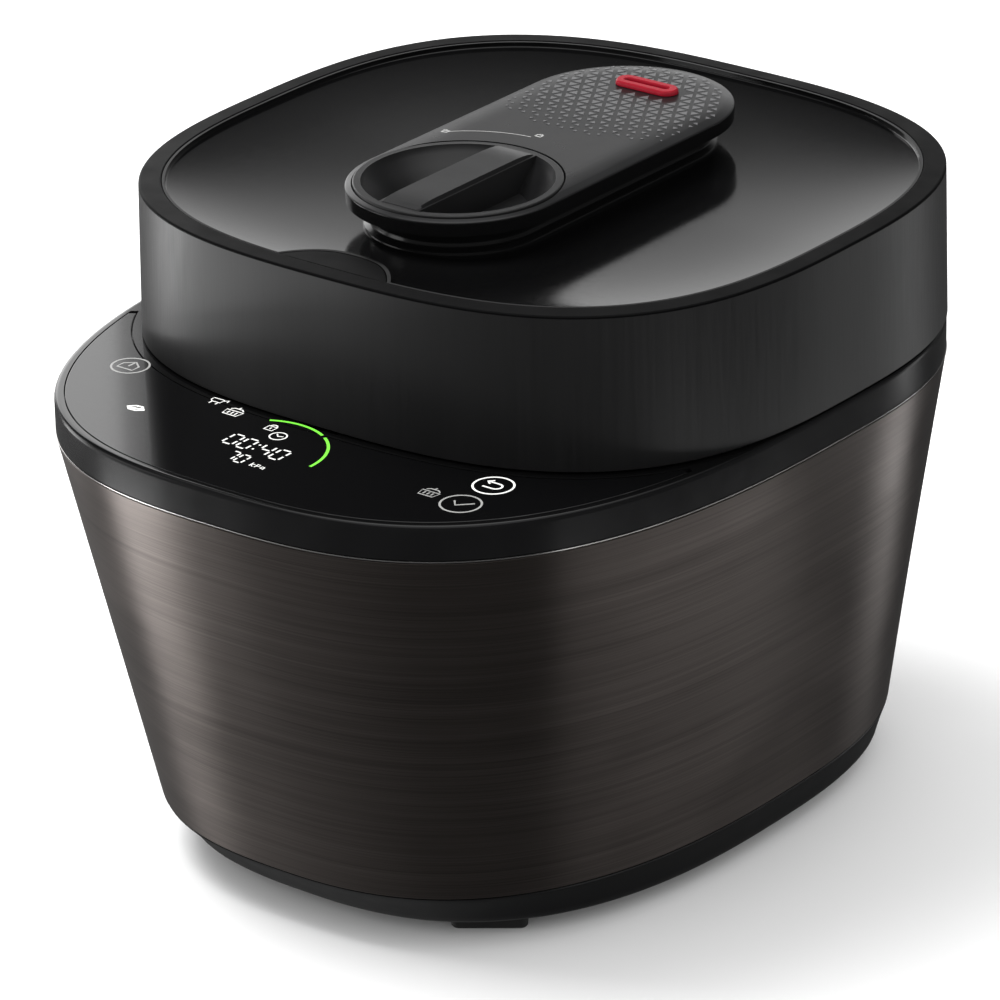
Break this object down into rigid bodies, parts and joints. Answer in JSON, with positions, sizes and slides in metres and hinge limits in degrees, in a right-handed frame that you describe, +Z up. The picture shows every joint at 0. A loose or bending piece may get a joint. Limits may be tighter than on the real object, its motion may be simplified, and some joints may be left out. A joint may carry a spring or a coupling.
{
  "type": "electric pressure cooker",
  "caption": "Countertop electric pressure cooker with a rounded-square brushed body, hinged lid, long handle with a turning lock knob, front touch panel and an inner pot.",
  "frame": {"origin": "bottom centre of the cooker's overall box, on the surface it stands on", "axes": "+Z up, -Y to the front with the touch panel, +X to the right seen from the front, hinge line along X at the rear"},
  "size_m": [0.3214, 0.3932, 0.2982],
  "materials": {
    "black_plastic": "satin moulded plastic",
    "satin_black": "satin black with fine vertical brushing",
    "gloss_black": "gloss",
    "panel_black": "high gloss",
    "handle_black": "fine matte with a raised triangle pattern",
    "knob_black": "fine matte",
    "shell_steel": "dark tinted steel, brushed sideways",
    "trim_metal": "bright line",
    "steel": "plain",
    "aluminium": "cast",
    "pot_coating": "dark grey non-stick coating on aluminium",
    "foot_rubber": "matte",
    "silicone": "soft matte",
    "circuit_board": "solder resist",
    "white_plastic": "satin",
    "brass": "plain",
    "cup_plastic": "smoky plastic",
    "red_plastic": "satin red"
  },
  "bodies": {
    "cooker_body": {"foot_front_left": "foot_rubber", "foot_front_right": "foot_rubber", "foot_rear_left": "foot_rubber", "foot_rear_right": "foot_rubber", "base_screw_front_left": "steel", "base_screw_front_right": "steel", "base_screw_rear_left": "steel", "base_screw_rear_right": "steel", "base_pan": "black_plastic", "outer_shell": "shell_steel", "trim_ring": "trim_metal", "deck_frame": "black_plastic", "control_panel": "panel_black", "touch_board": "circuit_board", "display_module": "white_plastic", "power_board": "circuit_board", "capacitor": "steel", "board_bracket": "steel", "pressure_body": "aluminium", "inner_pot": "pot_coating", "heating_plate": "aluminium", "thermostat_cup": "steel", "thermostat_spring": "steel", "pressure_switch": "white_plastic", "mains_inlet": "black_plastic", "hinge_bracket": "black_plastic", "hinge_pin": "steel", "hinge_spring_left": "steel", "hinge_spring_right": "steel", "cup_holder": "black_plastic", "latch_keeper": "steel"},
    "lid": {"lid_side_band": "satin_black", "lid_top_panel": "gloss_black", "lid_frame": "black_plastic", "lid_pressure_plate": "steel", "inner_lid": "steel", "sealing_ring": "silicone", "vent_cap": "steel", "mechanism_plate": "steel", "handle_base": "gloss_black", "handle_cover": "handle_black", "steam_outlet": "red_plastic", "steam_duct": "white_plastic", "lid_hinge_arm": "black_plastic", "lid_screw_front_left": "steel", "lid_screw_front_right": "steel", "lid_screw_rear_left": "steel", "lid_screw_rear_right": "steel"},
    "lock_knob": {"lock_knob": "knob_black", "knob_shaft": "steel"},
    "lock_ring": {"lock_ring": "steel", "lock_carrier": "steel"},
    "release_button": {"release_button": "gloss_black", "button_spring": "steel"},
    "latch_hook": {"latch_hook": "steel"},
    "float_valve": {"float_valve": "steel"},
    "safety_valve": {"safety_valve": "brass"},
    "exhaust_valve": {"exhaust_valve": "steel"},
    "thermostat_button": {"thermostat_button": "aluminium"},
    "condensate_cup": {"condensate_cup": "cup_plastic"}
  },
  "joints": [
    {"name": "lid_hinge", "type": "hinge", "parent": "cooker_body", "child": "lid", "pos_m": [0, 0.19115, 0.221], "axis": [-1, 0, 0], "range_deg": [0, 80]},
    {"name": "knob_turn", "type": "hinge", "parent": "lid", "child": "lock_knob", "pos_m": [0, -0.02765, 0.29], "axis": [0, 0, 1], "range_deg": [0, 40]},
    {"name": "lock_ring_turn", "type": "hinge", "parent": "lid", "child": "lock_ring", "pos_m": [0, 0.03035, 0.225], "axis": [0, 0, 1], "range_deg": [-16.4, 0]},
    {"name": "release_button_press", "type": "slide", "parent": "lid", "child": "release_button", "axis": [0, 0, -1], "range_m": [0, 0.0014], "stiffness_N_per_m": 600, "springref_m": -0.001, "deforming": ["button_spring"]},
    {"name": "latch_hook_turn", "type": "hinge", "parent": "lid", "child": "latch_hook", "pos_m": [0, -0.09965, 0.248], "axis": [1, 0, 0], "range_deg": [0, 4.42]},
    {"name": "float_valve_lift", "type": "slide", "parent": "lid", "child": "float_valve", "axis": [0, 0, 1], "range_m": [0, 0.004]},
    {"name": "safety_valve_lift", "type": "slide", "parent": "lid", "child": "safety_valve", "axis": [0, 0, 1], "range_m": [0, 0.0015], "stiffness_N_per_m": 800, "springref_m": -0.002},
    {"name": "exhaust_valve_lift", "type": "slide", "parent": "lid", "child": "exhaust_valve", "axis": [0, 0, 1], "range_m": [0, 0.004]},
    {"name": "thermostat_press", "type": "slide", "parent": "cooker_body", "child": "thermostat_button", "axis": [0, 0, -1], "range_m": [0, 0.0025], "stiffness_N_per_m": 500, "springref_m": -0.002, "deforming": ["thermostat_spring"]},
    {"name": "condensate_cup_pull", "type": "slide", "parent": "cooker_body", "child": "condensate_cup", "axis": [0, 1, 0], "range_m": [0, 0.03]}
  ],
  "couplings": [
    {"joint": "lock_ring_turn", "follows": "knob_turn", "ratio": -0.40909},
    {"joint": "latch_hook_turn", "follows": "release_button_press", "rad_per_m": 55}
  ]
}
